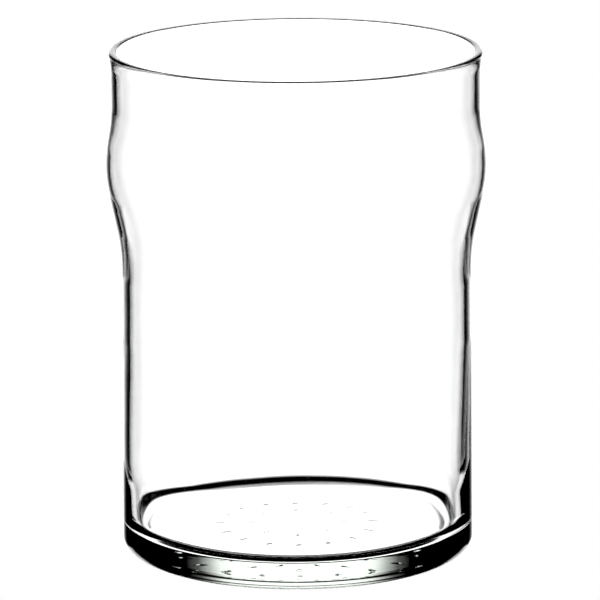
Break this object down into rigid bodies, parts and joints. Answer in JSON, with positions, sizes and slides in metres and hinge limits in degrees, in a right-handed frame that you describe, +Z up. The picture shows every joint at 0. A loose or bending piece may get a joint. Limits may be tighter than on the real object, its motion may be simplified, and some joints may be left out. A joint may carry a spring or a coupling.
{
  "type": "pint glass",
  "caption": "Stout nonic beer tumbler of clear glass: thin straight wall, bulge under a beaded rim, thick flat base.",
  "frame": {"origin": "centre of the face that the glass stands on", "axes": "+Z up along the glass's own axis; the glass is round, so X and Y are free"},
  "size_m": [0.0836, 0.0836, 0.112],
  "materials": {
    "clear_glass": "clear soda-lime glass, fire-polished, with a faint grey-green tint where it is thick"
  },
  "bodies": {
    "root": {"glass_tumbler": "clear_glass"}
  },
  "joints": []
}
